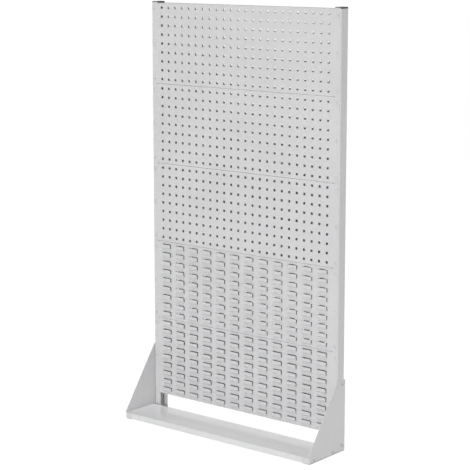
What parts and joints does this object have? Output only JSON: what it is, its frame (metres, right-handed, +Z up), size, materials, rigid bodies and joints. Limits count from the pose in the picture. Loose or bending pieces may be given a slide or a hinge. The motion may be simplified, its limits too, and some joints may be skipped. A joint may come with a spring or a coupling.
{
  "type": "free-standing perforated and louvred panel rack",
  "caption": "Free-standing steel panel rack: perforated and louvred sheets on two uprights, with side brackets and a shallow base tray.",
  "frame": {"origin": "on the floor under the middle of the rack: halfway between the uprights and halfway through the depth of the base", "axes": "+X to the right as seen from the front, -Y out of the front (the louvred side, over the tray), +Z up"},
  "size_m": [1.005, 0.244, 1.8021],
  "materials": {
    "panel_coating": "light grey textured powder coat",
    "upright_coating": "light grey powder coat",
    "bracket_coating": "light grey powder coat",
    "tray_coating": "light grey satin powder coat",
    "screw_coating": "screw heads coated to match the panels",
    "bolt_coating": "bolt heads coated to match the brackets",
    "zinc_steel": "bright zinc plate",
    "black_plastic": "moulded black"
  },
  "bodies": {
    "root": {"base_tray": "tray_coating", "bracket_bolts_left": "bolt_coating", "bracket_bolts_right": "bolt_coating", "bracket_nuts_left": "zinc_steel", "bracket_nuts_right": "zinc_steel", "bracket_washers_left": "bolt_coating", "bracket_washers_right": "bolt_coating", "louvred_panel_front_4": "panel_coating", "louvred_panel_front_5": "panel_coating", "panel_screws_front_left": "screw_coating", "panel_screws_front_right": "screw_coating", "panel_screws_rear_left": "screw_coating", "panel_screws_rear_right": "screw_coating", "perforated_panel_front_1": "panel_coating", "perforated_panel_front_2": "panel_coating", "perforated_panel_front_3": "panel_coating", "perforated_panel_rear_1": "panel_coating", "perforated_panel_rear_2": "panel_coating", "perforated_panel_rear_3": "panel_coating", "perforated_panel_rear_4": "panel_coating", "perforated_panel_rear_5": "panel_coating", "side_bracket_left": "bracket_coating", "side_bracket_right": "bracket_coating", "top_cap_left": "black_plastic", "top_cap_right": "black_plastic", "tray_bolts_left": "bolt_coating", "tray_bolts_right": "bolt_coating", "tray_nuts_left": "zinc_steel", "tray_nuts_right": "zinc_steel", "upright_left": "upright_coating", "upright_right": "upright_coating", "weld_nuts_front_left": "zinc_steel", "weld_nuts_front_right": "zinc_steel", "weld_nuts_rear_left": "zinc_steel", "weld_nuts_rear_right": "zinc_steel"}
  },
  "joints": []
}
